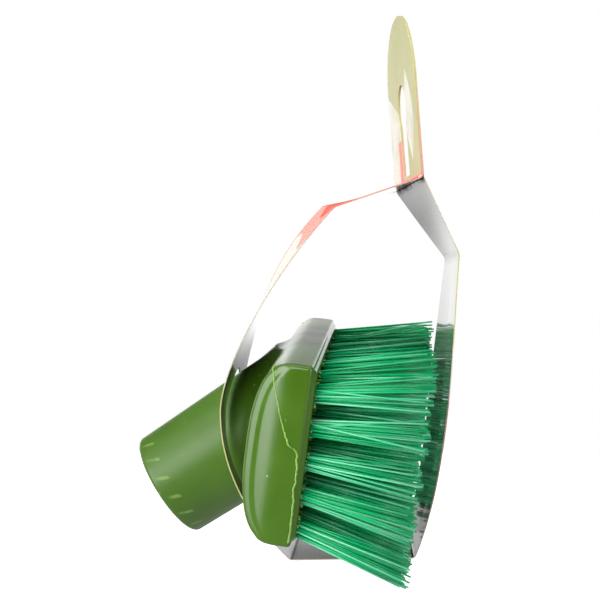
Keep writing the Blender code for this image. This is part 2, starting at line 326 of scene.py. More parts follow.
def bumped(shader, height, strength, distance):
    tree = shader.id_data
    values = {"Height": height, "Strength": strength, "Distance": distance}
    tree.links.new(add(tree, "ShaderNodeBump", values).outputs[0], shader.inputs["Normal"])


def shader_group(tree, shared, **values):
    """What a shared group puts out with these values."""
    node = tree.nodes.new("ShaderNodeGroup")
    node.node_tree = shared
    for key, value in values.items():
        node.inputs[key].default_value = value
    return node.outputs


def mottled(marks, first, second, low=0.3, high=0.7):
    return mix_colour(ramp(marks["Mottle"], low, high), first, second)


def dusted(marks, share, base, dust):
    return mix_colour(product(marks["Specks"], share), base, dust)


def creased(tree):
    """How deep in a crease the card is."""
    return add(tree, "ShaderNodeAttribute", attribute_name="crease").outputs["Fac"]


def uv_of(tree):
    """The two coordinates of the piece's UV map, in decimetres."""
    uv = add(tree, "ShaderNodeUVMap", uv_map="UVMap").outputs[0]
    return add(tree, "ShaderNodeSeparateXYZ", {0: uv}).outputs[:2]


def make_moulded_plastic(speckle, grain):
    """Green plastic, with pale scuffs like ticks round the socket's mouth and a duller socket."""
    material, tree, shader = principled("moulded_green_plastic", Roughness=0.2, IOR=1.49)
    marks = shader_group(tree, speckle, Scale=520.0, Amount=0.035)
    base = mottled(marks, *MOULDING_GREENS)
    place = add(tree, "ShaderNodeTexCoord").outputs["Object"]

    turn = add(tree, "ShaderNodeMapping", {"Vector": place}, vector_type="TEXTURE")
    turn.inputs["Rotation"].default_value = (0.0, math.pi / 2 - SOCKET_SLOPE, 0.0)
    side, front, depth = add(tree, "ShaderNodeSeparateXYZ", {0: turn.outputs[0]}).outputs
    angle = maths("ARCTAN2", front, side)
    skewed = maths("ADD", angle, product(depth, TICK_SKEW))
    spoke = maths("PINGPONG", maths("ADD", skewed, 20.0), math.pi / TICKS)
    streak = add(tree, "ShaderNodeTexNoise", {"Vector": place, "Scale": 130.0, "Detail": 2.0})
    tick = product(
        ramp(spoke, 0.022, 0.040, 1.0, 0.0),
        ramp(depth, 0.0016, 0.0024),
        ramp(depth, 0.0062, 0.0070, 1.0, 0.0),
        ramp(streak.outputs[0], 0.40, 0.62),
    )
    base = mix_colour(product(tick, 0.5), base, (0.30, 0.46, 0.12))
    base = dusted(marks, 0.5, base, (0.42, 0.60, 0.28))
    tree.links.new(base, shader.inputs["Base Color"])

    around = vector_math("MULTIPLY", turn.outputs[0], (1.0, 1.0, 0.0))
    socket = product(
        ramp(vector_math("LENGTH", around), 0.0215, 0.0235, 1.0, 0.0),
        ramp(depth, 0.040, 0.052, 1.0, 0.0),
    )
    rough = ramp(marks["Mottle"], 0.2, 0.8, 0.15, 0.22)
    for duller in (socket, tick):
        rough = maths("ADD", rough, product(duller, 0.2))
    tree.links.new(rough, shader.inputs["Roughness"])
    fine = shader_group(tree, grain, Scale=1400.0)["Height"]
    height = maths("ADD", fine, product(marks["Specks"], 3.0))
    bumped(shader, height, 0.05, 0.0001)
    return material


def make_burr_plastic(grain):
    material, tree, shader = principled("torn_flash", Roughness=0.45)
    fine = shader_group(tree, grain, Scale=900.0)["Height"]
    tree.links.new(mix_colour(fine, *FLASH_GREENS), shader.inputs["Base Color"])
    bumped(shader, fine, 0.3, 0.0002)
    return material


def make_filament(grain):
    """Each filament has its own tone, from dark to pale green."""
    material, tree, shader = principled("green_filament", Roughness=0.32, IOR=1.45)
    tone = add(tree, "ShaderNodeAttribute", attribute_name="tone").outputs["Fac"]
    dark, middle, pale = FILAMENT_GREENS
    base = mix_colour(ramp(tone, 0.0, 0.5), dark, middle)
    base = mix_colour(ramp(tone, 0.55, 1.0), base, pale)
    tree.links.new(base, shader.inputs["Base Color"])
    fine = shader_group(tree, grain, Scale=900.0, Stretch=(0.12, 1.0, 1.0))["Height"]
    tree.links.new(ramp(fine, 0.3, 0.7, 0.20, 0.30), shader.inputs["Roughness"])
    return material


def make_card_inside(speckle, grain):
    """Varnished grey board, with mottled painted shade darkening its creases, where it is also
    crumpled and duller.
    """
    material, tree, shader = principled(
        "card_inside", Roughness=0.5, Specular_IOR_Level=0.0, Coat_Weight=1.0, Coat_Roughness=0.1
    )
    marks = shader_group(tree, speckle, Scale=700.0, Amount=0.03)
    base = mottled(marks, *BOARD_GREYS)
    uneven = ramp(marks["Mottle"], 0.30, 0.60, 0.10, 0.75)
    # Painted shade: the board is darkened in its creases, broken up by a mottle like crumple
    # marks; the same mask thins the varnish there.
    crease_shade_and_crumple = product(creased(tree), uneven)
    base = mix_colour(crease_shade_and_crumple, base, (0.035, 0.036, 0.031))
    base = dusted(marks, 0.5, base, (0.40, 0.38, 0.33))
    tree.links.new(base, shader.inputs["Base Color"])
    tree.links.new(ramp(crease_shade_and_crumple, 0.0, 0.6, 1.0, 0.1), shader.inputs["Coat Weight"])
    fibre = shader_group(tree, grain, Scale=700.0, Stretch=(1.0, 0.35, 1.0))["Height"]
    bumped(shader, fibre, 0.04, 0.0001)
    return material


def make_card_edge(grain):
    """The cut edge: bare fibres, with the outer print's colour along its outer side."""
    material, tree, shader = principled("card_cut_edge", Roughness=0.85)
    fibre = shader_group(tree, grain, Scale=900.0, Stretch=(1.0, 0.3, 1.0))["Height"]
    tint = add(tree, "ShaderNodeAttribute", attribute_name="tint").outputs
    printed = ramp(tint["Alpha"], 0.45, 0.60)
    base = mix_colour(printed, mix_colour(fibre, *BARE_FIBRES), tint["Color"])
    tree.links.new(base, shader.inputs["Base Color"])
    return material


def print_bands(tree, along):
    """The outer print's colour by the distance along the loop, in decimetres."""
    colours = add(tree, "ShaderNodeValToRGB", {0: ramp(along, 0.0, PRINT_LENGTH)})
    bands = colours.color_ramp
    bands.interpolation = "CONSTANT"
    for number, (place, colour) in enumerate(PRINT_BANDS):
        share = place / PRINT_LENGTH
        element = bands.elements[number] if number < 2 else bands.elements.new(share)
        element.position = share
        element.color = (*colour, 1.0)
    return colours.outputs[0]


def make_card_print(speckle):
    """The sleeve's outside: bands of colour along the loop, pink towards the back's edges."""
    material, tree, shader = principled("printed_card", Roughness=0.5, Specular_IOR_Level=0.04)
    along, across = uv_of(tree)
    wave = product(maths("SINE", product(across, 11.0)), 0.03)
    base = print_bands(tree, maths("ADD", along, wave))
    from_middle = maths("ABSOLUTE", across)
    on_the_back = ramp(along, 1.05, 1.15, 1.0, 0.0)
    margin = product(ramp(from_middle, 0.255, 0.275), on_the_back)
    base = mix_colour(margin, base, PINK)
    marks = shader_group(tree, speckle, Scale=600.0, Amount=0.04)
    base = dusted(marks, 0.6, base, (0.82, 0.80, 0.74))
    worn = product(creased(tree), ramp(marks["Mottle"], 0.45, 0.6))
    base = mix_colour(worn, base, (0.70, 0.66, 0.58))
    tree.links.new(base, shader.inputs["Base Color"])
    return material


def make_tab_print(speckle, grain):
    """The hang tab's outside: yellow-green, with pale shapes and a red foot, by its UV map."""
    material, tree, shader = principled(
        "printed_tab", Roughness=0.45, Coat_Weight=0.15, Coat_Roughness=0.25
    )
    up, across = uv_of(tree)
    marks = shader_group(tree, speckle, Scale=500.0, Amount=0.05)
    lime = mottled(marks, *TAB_LIMES)
    pale = mottled(marks, *TAB_PALES, 0.45, 0.7)
    beside_slot = ramp(across, 0.050, 0.052)
    rise = maths("SUBTRACT", up, product(across, 0.42))
    far_side = product(ramp(rise, 0.222, 0.226, 1.0, 0.0), beside_slot)
    base = mix_colour(far_side, lime, pale)
    leaf_middle = maths("ADD", across, ramp(up, 0.07, 0.39, 0.155, 0.115))
    leaf_length = ramp(up, 0.07, 0.39, 0.0, math.pi)
    leaf_width = product(maths("SINE", leaf_length), 0.082)
    leaf = maths("LESS_THAN", maths("ABSOLUTE", leaf_middle), leaf_width)
    base = mix_colour(leaf, base, pale)
    foot = product(
        ramp(up, 0.160, 0.164, 1.0, 0.0),
        beside_slot,
        ramp(across, 0.132, 0.136, 1.0, 0.0),
    )
    foot = maths("MAXIMUM", foot, ramp(up, 0.014, 0.018, 1.0, 0.0))
    base = mix_colour(foot, base, (0.84, 0.16, 0.13))
    base = dusted(marks, 0.6, base, (0.80, 0.80, 0.72))
    tree.links.new(base, shader.inputs["Base Color"])
    bumped(shader, shader_group(tree, grain, Scale=900.0)["Height"], 0.03, 0.0001)
    return material


# The moulding ----------------------------------------------------------------------------------


def rounded_meet(first, second, radius):
    """The distance to what is inside both, with their outer corner rounded."""
    corner = np.hypot(np.maximum(first + radius, 0), np.maximum(second + radius, 0))
    return np.minimum(np.maximum(first, second), -radius) + corner


def filleted_join(first, second, radius):
    """The distance to either, with the inner corner between them filleted."""
    corner = np.hypot(np.maximum(radius - first, 0), np.maximum(radius - second, 0))
    return np.maximum(np.minimum(first, second), radius) - corner


def section_distance(u, v):
    """How far a point is outside the block's cross-section, leaving out its bristle face."""
    depth = BLOCK_THICKNESS - BLOCK_SIDE
    across = np.abs(v) / BLOCK_HALF_WIDTH
    back = np.maximum(-u - BLOCK_SIDE, 0) / depth
    power = BACK_FULLNESS - 1
    size = (across ** BACK_FULLNESS + back ** BACK_FULLNESS) ** (1 / BACK_FULLNESS)
    slope = np.hypot(across ** power / BLOCK_HALF_WIDTH, back ** power / depth)
    slope = slope / np.maximum(size, 0.05) ** power
    return (size - 1) / np.maximum(slope, 1 / BLOCK_HALF_WIDTH)


def socket_place(u, y, v):
    """(depth in from the socket's mouth, distance from its axis)."""
    x = BLOCK_CENTRE[0] + u * math.cos(BLOCK_TILT) + v * math.sin(BLOCK_TILT)
    z = BLOCK_CENTRE[2] - u * math.sin(BLOCK_TILT) + v * math.cos(BLOCK_TILT)
    depth = x * math.cos(SOCKET_SLOPE) + z * math.sin(SOCKET_SLOPE)
    return depth, np.hypot(z * math.cos(SOCKET_SLOPE) - x * math.sin(SOCKET_SLOPE), y)


def eased(value):
    """0 to 1 with soft ends, for a value that runs past both."""
    value = np.clip(value, 0, 1)
    return value * value * (3 - 2 * value)


def moulding_distance(u, y, v):
    """How far a point is outside the moulding: a block with crowned ends in a rim, its platform
    under the tufts, and its socket."""
    from_end = np.abs(y) - BLOCK_LENGTH / 2
    section = section_distance(u, v)
    to_back = eased((-u - 5.0) / 7.0)
    behind = np.maximum(-u - CROWN_START, 0)
    steepest = 2 * CROWN_CURVED / CROWN_BEND
    straight = CROWN_CURVED ** 2 / CROWN_BEND + steepest * (behind - CROWN_CURVED)
    crown = np.where(behind < CROWN_CURVED, behind ** 2 / CROWN_BEND, straight)
    rim = rounded_meet(section, u, LONG_EDGE_RADIUS)
    rim_end = from_end + crown + RIM_STEP * to_back
    rim = rounded_meet(rim, rim_end, END_EDGE_RADIUS - 0.6 * to_back)
    inwards, outwards, back_off = RIM_SLOPE
    slope = inwards * section + outwards * from_end + back_off - 5.0 * (1 - to_back)
    rim = rounded_meet(rim, slope, 0.7)
    bulge = rounded_meet(section + RIM_WIDTH * to_back, u, LONG_EDGE_RADIUS)
    bulge = rounded_meet(bulge, from_end + crown, END_EDGE_RADIUS + 1.1 * to_back)
    block = filleted_join(rim, bulge, 0.3)

    plan = rounded_meet(np.abs(v) - PLATFORM_HALF_WIDTH, np.abs(y) - PLATFORM_HALF_LENGTH, 3.0)
    plan = np.maximum(plan, -u - 3.0)
    block = filleted_join(block, rounded_meet(plan, u - PLATFORM_HEIGHT, 0.9), 1.2)

    depth, radius = socket_place(u, y, v)
    socket = rounded_meet(radius - SOCKET_MOUTH_RADIUS - SOCKET_FLARE * depth, -depth, SOCKET_LIP)
    socket = rounded_meet(socket, u + 9.0, 1.0)
    socket = np.maximum(socket, depth - 60.0)
    body = filleted_join(block, socket, SOCKET_FILLET)
    bore = np.maximum(radius - BORE_MOUTH_RADIUS + BORE_TAPER * depth, depth - BORE_DEPTH)
    return rounded_meet(body, -bore, 0.7)


def skin_of(distance, *steps):
    """Points and quads of the closed skin where the distance passes through zero."""
    field = distance(*np.meshgrid(*steps, indexing="ij", sparse=True))
    inside = field < 0
    shape = np.array(field.shape)
    total = np.zeros((*(shape - 1), 3))
    count = np.zeros(shape - 1)
    quads = []
    for axis in range(3):
        others = [(axis + 1) % 3, (axis + 2) % 3]
        keep = [slice(None)] * 3
        keep[axis] = slice(0, -1)
        ahead = list(keep)
        ahead[axis] = slice(1, None)
        edges = np.argwhere(inside[tuple(keep)] != inside[tuple(ahead)])
        step = np.eye(3, dtype=int)
        first = field[tuple(edges.T)]
        second = field[tuple((edges + step[axis]).T)]
        share = first / (first - second)
        point = np.stack([steps[i][edges[:, i]] for i in range(3)], axis=1)
        point[:, axis] += share * (steps[axis][edges[:, axis] + 1] - steps[axis][edges[:, axis]])
        ring = []
        for back_b, back_c in ((1, 1), (0, 1), (0, 0), (1, 0)):
            cell = edges - back_b * step[others[0]] - back_c * step[others[1]]
            np.add.at(total, tuple(cell.T), point)
            np.add.at(count, tuple(cell.T), 1)
            ring.append(np.ravel_multi_index(cell.T, shape - 1))
        ring = np.stack(ring, axis=1)
        turned = first >= 0
        ring[turned] = ring[turned, ::-1]
        quads.append(ring)
    used = np.flatnonzero(count.ravel())
    number = np.full(count.size, -1)
    number[used] = np.arange(len(used))
    points = total.reshape(-1, 3)[used] / count.ravel()[used, None]
    return points, number[np.concatenate(quads)]


def settled(distance, points, rounds=4):
    """The points moved onto the skin itself."""
    reach = 0.02
    for _ in range(rounds):
        value = distance(*points.T)
        slope = np.stack(
            [distance(*(points + reach * axis).T) - value for axis in np.eye(3)], axis=1
        ) / reach
        size = np.maximum((slope ** 2).sum(axis=1), 0.2)
        points = points - np.clip(value / size, -0.4, 0.4)[:, None] * slope
    return points


def make_moulding(plastic):
    """The moulding's skin, from a grid that is finer along the block's ends."""
    (half, steps), (end, end_step) = GRID_MIDDLE, GRID_END
    ends = np.arange(0, end, end_step)
    middle = np.linspace(-half, half, steps)
    along = np.concatenate([-half - end + ends, middle[:-1], half + ends])
    out, up = np.arange(*GRID_OUT, GRID_STEP), np.arange(*GRID_UP, GRID_STEP)
    points, quads = skin_of(moulding_distance, out, along, up)
    mesh = bpy.data.meshes.new("brush_head_moulding")
    mesh.from_pydata(settled(moulding_distance, points), [], quads)
    mesh.transform(block_frame())
    smooth(mesh, 60)
    body = piece("brush_head_moulding", mesh, plastic)
    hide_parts("brush_head")
    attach(body, "brush")


def end_height(u, v, side):
    """Y of the block's end at a point of it."""
    y = np.full_like(u, side * BLOCK_LENGTH / 2 + side)
    for _ in range(12):
        y = y - side * moulding_distance(u, y, v)
    return y


def make_flash(burr):
    """The torn line of flash where the mould's halves met, across each end of the block."""
    rng = np.random.default_rng(7)
    for number, side in enumerate((-1, 1)):
        steps = np.linspace(0, len(FLASH_PATH) - 1, 190)
        u, v = (np.interp(steps, np.arange(len(FLASH_PATH)), line) for line in FLASH_PATH.T)
        rough = np.convolve(rng.normal(size=len(u) + 4), np.ones(5) / 5, "valid")
        heavy = np.interp(steps, *FLASH_HEAVINESS)
        u = u + 0.38 * rough * heavy
        y = end_height(u, v, side)
        bm = bmesh.new()
        rings = []
        for k in range(len(u)):
            width = 0.20 + 0.38 * heavy[k] * rng.uniform(0.5, 1.2)
            height = 0.12 + 0.40 * heavy[k] * rng.uniform(0.3, 1.1)
            lean = rng.uniform(-0.3, 0.3) * width
            crest = (lean - 0.3 * width, height), (lean + 0.3 * width, height)
            rings.append([
                bm.verts.new((u[k] + du, y[k] + side * dy, v[k]))
                for du, dy in ((-width, -0.3), *crest, (width, -0.3))
            ])
        for ring, after in zip(rings, rings[1:]):
            for i in range(4):
                bm.faces.new((ring[i], ring[(i + 1) % 4], after[(i + 1) % 4], after[i]))
        bm.faces.new(rings[0])
        bm.faces.new(rings[-1])
        bmesh.ops.recalc_face_normals(bm, faces=bm.faces)
        mesh = mesh_from(bm, f"mould_flash_{number + 1}")
        mesh.transform(block_frame())
        ridge = piece(mesh.name, mesh, burr)
        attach(ridge, "brush")


# Bristles and burrs, by Geometry Nodes ---------------------------------------------------------


def new_tree(name, inputs):
    """A tree with its named inputs, the sockets it is given and its end node."""
    tree = bpy.data.node_groups.new(name, "GeometryNodeTree")
    inputs = {"Geometry": "Geometry", **inputs, "Seed": "Float", "Material": "Material"}
    for label, kind in inputs.items():
        tree.interface.new_socket(label, in_out="INPUT", socket_type="NodeSocket" + kind)
    tree.interface.new_socket("Geometry", in_out="OUTPUT", socket_type="NodeSocketGeometry")
    return tree, tree.nodes.new("NodeGroupInput").outputs, tree.nodes.new("NodeGroupOutput")


def enabled(sockets):
    return [socket for socket in sockets if socket.enabled]


def random_value(tree, kind, low, high, seed, extra):
    """A random float or vector for each element, its seed the tree's seed plus an extra."""
    node = add(tree, "FunctionNodeRandomValue", data_type=kind)
    inputs = enabled(node.inputs)
    inputs[0].default_value = low
    inputs[1].default_value = high
    tree.links.new(maths("ADD", seed, float(extra)), node.inputs["Seed"])
    return enabled(node.outputs)[0]


def random_offset(tree, spread, seed, extra):
    """A random move across U, up to the spread each way."""
    low, high = (0.0, -spread, -spread), (0.0, spread, spread)
    return random_value(tree, "FLOAT_VECTOR", low, high, seed, extra)


def stored(tree, geometry, name, value, **settings):
    kept = {"Geometry": geometry, "Name": name}
    node = add(tree, "GeometryNodeStoreNamedAttribute", kept, **settings)
    tree.links.new(value, node.inputs["Value"])
    return node.outputs[0]


def named_vector(tree, name):
    node = add(tree, "GeometryNodeInputNamedAttribute", {"Name": name}, data_type="FLOAT_VECTOR")
    return enabled(node.outputs)[0]


def disc_of_points(tree, count, radius):
    """Points spread evenly over a disc across U, each with its offset from the middle stored."""
    index = add(tree, "GeometryNodeInputIndex").outputs[0]
    share = maths("DIVIDE", maths("ADD", index, 0.5), count)
    out = product(maths("POWER", share, 0.5), radius)
    turn = product(index, GOLDEN_ANGLE)
    y, z = maths("COSINE", turn), maths("SINE", turn)
    flat = add(tree, "ShaderNodeCombineXYZ", {1: y, 2: z}).outputs[0]
    place = vector_math("SCALE", flat, scale=out)
    points = add(tree, "GeometryNodePoints", {"Count": count, "Position": place}).outputs[0]
    offset = add(tree, "GeometryNodeInputPosition").outputs[0]
    return stored(tree, points, "offset", offset, data_type="FLOAT_VECTOR")


def discs_on(tree, points, disc, nudge):
    """The disc's points at each of the points, each one nudged."""
    discs = add(tree, "GeometryNodeInstanceOnPoints", {"Points": points, "Instance": disc})
    real = add(tree, "GeometryNodeRealizeInstances", {0: discs.outputs[0]}).outputs[0]
    return add(tree, "GeometryNodeSetPosition", {"Geometry": real, "Offset": nudge}).outputs[0]


def finish_tree(tree, instances, material, end):
    real = add(tree, "GeometryNodeRealizeInstances", {0: instances}).outputs[0]
    done = add(tree, "GeometryNodeSetMaterial", {"Geometry": real, "Material": material})
    tree.links.new(done.outputs[0], end.inputs[0])


def make_tuft_tree():
    """Filaments on each tuft point: a packed disc of them, splayed, ragged and cut to a height."""
    tree, inputs, end = new_tree("tufts", {
        "Filaments": "Int", "Root radius": "Float", "Filament radius": "Float",
        "Trim height": "Float", "Splay": "Float", "Ragged": "Float",
    })
    seed = inputs["Seed"]
    disc = disc_of_points(tree, inputs["Filaments"], inputs["Root radius"])
    roots = discs_on(tree, inputs["Geometry"], disc, random_offset(tree, 0.16, seed, 1))

    spread = vector_math("SCALE", named_vector(tree, "offset"), scale=inputs["Splay"])
    aim = vector_math("ADD", named_vector(tree, "aim"), spread)
    aim = vector_math("ADD", aim, random_offset(tree, 0.035, seed, 2))
    wild = random_offset(tree, 0.16, seed, 3)
    draw = random_value(tree, "FLOAT", 0.0, 1.0, seed, 4)
    stray = maths("GREATER_THAN", draw, 1 - STRAY_SHARE)
    aim = vector_math("ADD", aim, vector_math("SCALE", wild, scale=stray))
    aim = vector_math("NORMALIZE", aim)
    ragged = random_value(tree, "FLOAT", -1.0, 0.35, seed, 5)
    height = maths("ADD", product(ragged, inputs["Ragged"]), inputs["Trim height"])
    length = maths("DIVIDE", height, vector_math("DOT_PRODUCT", aim, (1.0, 0.0, 0.0)))

    rod = {"Vertices": 7, "Radius": inputs["Filament radius"], "Depth": 1.0}
    strand = add(tree, "GeometryNodeMeshCylinder", rod).outputs
    shaded = {"Geometry": strand["Mesh"], "Selection": strand["Side"]}
    strand = add(tree, "GeometryNodeSetShadeSmooth", shaded).outputs[0]
    on_root = {"Geometry": strand, "Translation": (0.0, 0.0, 0.5)}
    strand = add(tree, "GeometryNodeTransform", on_root).outputs[0]
    turn = add(tree, "FunctionNodeAlignRotationToVector", {"Vector": aim}, axis="Z").outputs[0]
    size = add(tree, "ShaderNodeCombineXYZ", {0: 1.0, 1: 1.0, 2: length}).outputs[0]
    placed = {"Points": roots, "Instance": strand, "Rotation": turn, "Scale": size}
    strands = add(tree, "GeometryNodeInstanceOnPoints", placed).outputs[0]
    tone = random_value(tree, "FLOAT", 0.0, 1.0, seed, 6)
    strands = stored(tree, strands, "tone", tone, data_type="FLOAT", domain="INSTANCE")
    finish_tree(tree, strands, inputs["Material"], end)
    return tree


def make_burr_tree():
    """Crumbs of torn plastic round each tuft's hole."""
    tree, inputs, end = new_tree("burrs", {
        "Crumbs": "Int", "Ring radius": "Float", "Smallest": "Float", "Largest": "Float",
    })
    seed = inputs["Seed"]
    disc = disc_of_points(tree, inputs["Crumbs"], inputs["Ring radius"])
    jitter = random_value(tree, "FLOAT_VECTOR", (-0.15, -0.7, -0.7), (0.45, 0.7, 0.7), seed, 1)
    places = discs_on(tree, inputs["Geometry"], disc, jitter)
    offset = named_vector(tree, "offset")
    inner = maths("LESS_THAN", vector_math("DOT_PRODUCT", offset, offset), 4.6)
    outer = add(tree, "GeometryNodeDeleteGeometry", {"Geometry": places, "Selection": inner})
    crumb = add(tree, "GeometryNodeMeshIcoSphere", {"Radius": 1.0, "Subdivisions": 1}).outputs[0]
    spin = random_value(tree, "FLOAT_VECTOR", (0.0, 0.0, 0.0), (6.28, 6.28, 6.28), seed, 2)
    shape = random_value(tree, "FLOAT_VECTOR", (0.5, 0.35, 0.8), (1.0, 1.0, 2.0), seed, 3)
    whole = add(tree, "FunctionNodeRandomValue", {"Seed": 11}, data_type="FLOAT")
    for socket, limit in zip(enabled(whole.inputs), ("Smallest", "Largest")):
        tree.links.new(inputs[limit], socket)
    size = vector_math("SCALE", shape, scale=enabled(whole.outputs)[0])
    placed = {"Points": outer.outputs[0], "Instance": crumb, "Rotation": spin, "Scale": size}
    crumbs = add(tree, "GeometryNodeInstanceOnPoints", placed).outputs[0]
    finish_tree(tree, crumbs, inputs["Material"], end)
    return tree


def tuft_points(name, column, height):
    """A mesh of one column's tuft places at a height on the block, with the way each tuft aims."""
    y = (column - (COLUMNS - 1) / 2) * COLUMN_PITCH
    rows = (np.arange(TUFTS_PER_COLUMN) - (TUFTS_PER_COLUMN - 1) / 2) * TUFT_PITCHES[column % 2]
    rows += COLUMN_SHIFTS[column % 2]
    mesh = bpy.data.meshes.new(name)
    mesh.from_pydata([(height, y, v) for v in rows], [], [])
    aim = mesh.attributes.new("aim", "FLOAT_VECTOR", "POINT")
    angles = FAN_MIDDLE + FAN_PER_MM * rows
    ways = np.stack([np.cos(angles), 0 * rows, np.sin(angles)], axis=1)
    aim.data.foreach_set("vector", ways.ravel())
    return mesh


def grown(name, column, height, tree, values):
    """The plain piece that a tree makes from a column's tuft places, in the world."""
    base = piece(name, tuft_points(name, column, height))
    modifier = base.modifiers.new("grow", "NODES")
    modifier.node_group = tree
    for item in tree.interface.items_tree:
        if item.in_out == "INPUT" and item.name in values:
            modifier[item.identifier] = values[item.name]
    mesh = applied(base)
    bpy.data.objects.remove(base)
    mesh.transform(block_frame())
    mesh.name = name
    return piece(name, mesh)


def make_bristles(filament, burr):
    tufts, burrs = make_tuft_tree(), make_burr_tree()
    for column in range(COLUMNS):
        number = f"{column + 1:02d}"
        trim = TRIM_HEIGHT + FAR_COLUMN_GROWTH * max(column - LAST_EVEN_COLUMN, 0)
        values = {**TUFT_SIZES, "Trim height": trim, "Seed": 10.0 * column, "Material": filament}
        bristles = grown(f"bristles_{number}", column, -ROOT_DEPTH, tufts, values)
        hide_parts(f"bristle_column_{number}")
        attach(bristles, "brush")
        values = {**BURR_SIZES, "Seed": 10.0 * column + 5.0, "Material": burr}
        crumbs = grown(f"tuft_burrs_{number}", column, PLATFORM_HEIGHT, burrs, values)
        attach(crumbs, "brush")


# The card sleeve -------------------------------------------------------------------------------


def ends_of(crease):
    """The crease's two ends, as near and far points."""
    (x, z), (shift_x, shift_z) = crease
    return np.array([(x, -SLEEVE_HALF_WIDTH, z), (x + shift_x, SLEEVE_HALF_WIDTH, z + shift_z)])


def curve_between(first, second, pull_first, pull_second, steps):
    """Two rows of points, near and far, on a curve pulled at both its ends."""
    pulls = [np.array((x, 0.0, z)) for x, z in (pull_first, pull_second)]
    starts, stops = ends_of(first), ends_of(second)
    rows = []
    for a, b in zip(starts, stops):
        knots = (Vector(point) for point in (a, a + pulls[0], b + pulls[1], b))
        rows.append(interpolate_bezier(*knots, steps + 1))
    return np.array(rows).transpose(1, 0, 2)


def straight_between(first, second, steps):
    share = np.linspace(0, 1, steps + 1)[:, None, None]
    return ends_of(first) * (1 - share) + ends_of(second) * share


def tab_axes():
    """The tab's crease's middle, and unit vectors along it, up the tab and out of its front."""
    near, far = ends_of(TAB_CREASE)
    along = (far - near) / np.linalg.norm(far - near)
    lean = np.array((-math.sin(TAB_LEAN), 0.0, math.cos(TAB_LEAN)))
    up = lean - lean.dot(along) * along
    up /= np.linalg.norm(up)
    return (near + far) / 2, along, up, np.cross(along, up)


def folded(strips):
    """Joins strips of rows at their creases, each crease a small round fold.

    Returns the rows, and where each strip and each fold starts and ends among them.
    """
    rows, spans = [], []
    for number, strip in enumerate(strips):
        strip = strip.copy()
        length = np.linalg.norm(strip[1] - strip[0], axis=1)[:, None]
        if number:
            strip[0] += (strip[1] - strip[0]) / length * FOLD_RADIUS
        length = np.linalg.norm(strip[-2] - strip[-1], axis=1)[:, None]
        if number < len(strips) - 1:
            strip[-1] += (strip[-2] - strip[-1]) / length * FOLD_RADIUS
        if rows:
            corner, before = strips[number][0], rows[-1]
            spans.append((len(rows) - 1, len(rows) + FOLD_STEPS - 1))
            for share in np.arange(1, FOLD_STEPS) / FOLD_STEPS:
                rest = 1 - share
                rows.append(rest ** 2 * before + 2 * share * rest * corner + share ** 2 * strip[0])
        spans.append((len(rows), len(rows) + len(strip) - 1))
        rows.extend(strip)
    return np.array(rows), spans


def loop_sheet(strips, across_steps=40):
    """Middle points, normals, distance along and distance across of the folded card, on a grid."""
    rows, spans = folded(strips)
    across = np.linspace(0, 1, across_steps + 1)[None, :, None]
    sheet = rows[:, :1] * (1 - across) + rows[:, 1:] * across
    run = np.gradient(sheet, axis=0)
    side = np.gradient(sheet, axis=1)
    normal = np.cross(side, run)
    normal /= np.linalg.norm(normal, axis=2, keepdims=True)
    steps = np.linalg.norm(np.diff(rows.mean(axis=1), axis=0), axis=1)
    along = np.concatenate([[0], np.cumsum(steps)])
    return sheet, normal, along, spans


def waved(sheet, normal, along, rng):
    """The sheet with the faint waves that handled card has."""
    y = sheet[:, :, 1]
    lift = np.zeros(sheet.shape[:2])
    for _ in range(5):
        lift += rng.uniform(0.02, 0.06) * np.sin(
            along[:, None] / rng.uniform(7, 22) + y / rng.uniform(8, 25) + rng.uniform(0, 6)
        )
    return sheet + lift[:, :, None] * normal


def print_colour(along):
    """The outer print's colour at a distance along the loop, in millimetres."""
    return [colour for place, colour in PRINT_BANDS if place <= max(along, 0) / 100][-1]


def card_mesh(name, middle, normal, along, across, crease):
    """A closed piece of card: outside, inside and cut edges, with its UV map in decimetres."""
    rows, columns = middle.shape[:2]
    count = rows * columns
    sides = (middle + normal * CARD / 2, middle - normal * CARD / 2)
    points = np.concatenate([side.reshape(-1, 3) for side in sides])
    outer = np.arange(count).reshape(rows, columns)
    inner = outer + count
    a, b, c, d = outer[:-1, :-1], outer[1:, :-1], outer[1:, 1:], outer[:-1, 1:]
    quads = [
        np.stack([a, d, c, b], axis=-1).reshape(-1, 4),
        np.stack([a, b, c, d], axis=-1).reshape(-1, 4) + count,
    ]
    for line in (np.s_[0], np.s_[:, -1], np.s_[-1, ::-1], np.s_[::-1, 0]):
        outside, inside = outer[line], inner[line]
        quads.append(np.stack([outside[:-1], inside[:-1], inside[1:], outside[1:]], axis=-1))
    kinds = np.repeat((0, 1, 2, 2, 2, 2), [len(part) for part in quads])
    mesh = bpy.data.meshes.new(name)
    mesh.from_pydata(points * MM, [], np.concatenate(quads))
    mesh.polygons.foreach_set("material_index", kinds)
    uv = mesh.uv_layers.new(name="UVMap")
    flat = np.stack(np.broadcast_arrays(along[:, None], across[None, :]), axis=-1) / 100
    corner = np.empty(len(mesh.loops), int)
    mesh.loops.foreach_get("vertex_index", corner)
    uv.data.foreach_set("uv", np.tile(flat.reshape(-1, 2), (2, 1))[corner].ravel())
    flag = mesh.attributes.new("crease", "FLOAT", "POINT")
    flag.data.foreach_set("value", np.tile(np.repeat(crease, columns), 2))
    tint = mesh.attributes.new("tint", "FLOAT_COLOR", "POINT")
    colour = np.repeat([print_colour(place) for place in along], columns, axis=0)
    outer_side = np.repeat([1.0, 0.0], count)[:, None]
    tint.data.foreach_set("color", np.hstack([np.tile(colour, (2, 1)), outer_side]).ravel())
    bm = bmesh.new()
    bm.from_mesh(mesh)
    bmesh.ops.recalc_face_normals(bm, faces=bm.faces)
    bm.to_mesh(mesh)
    bm.free()
    smooth(mesh)
    return mesh


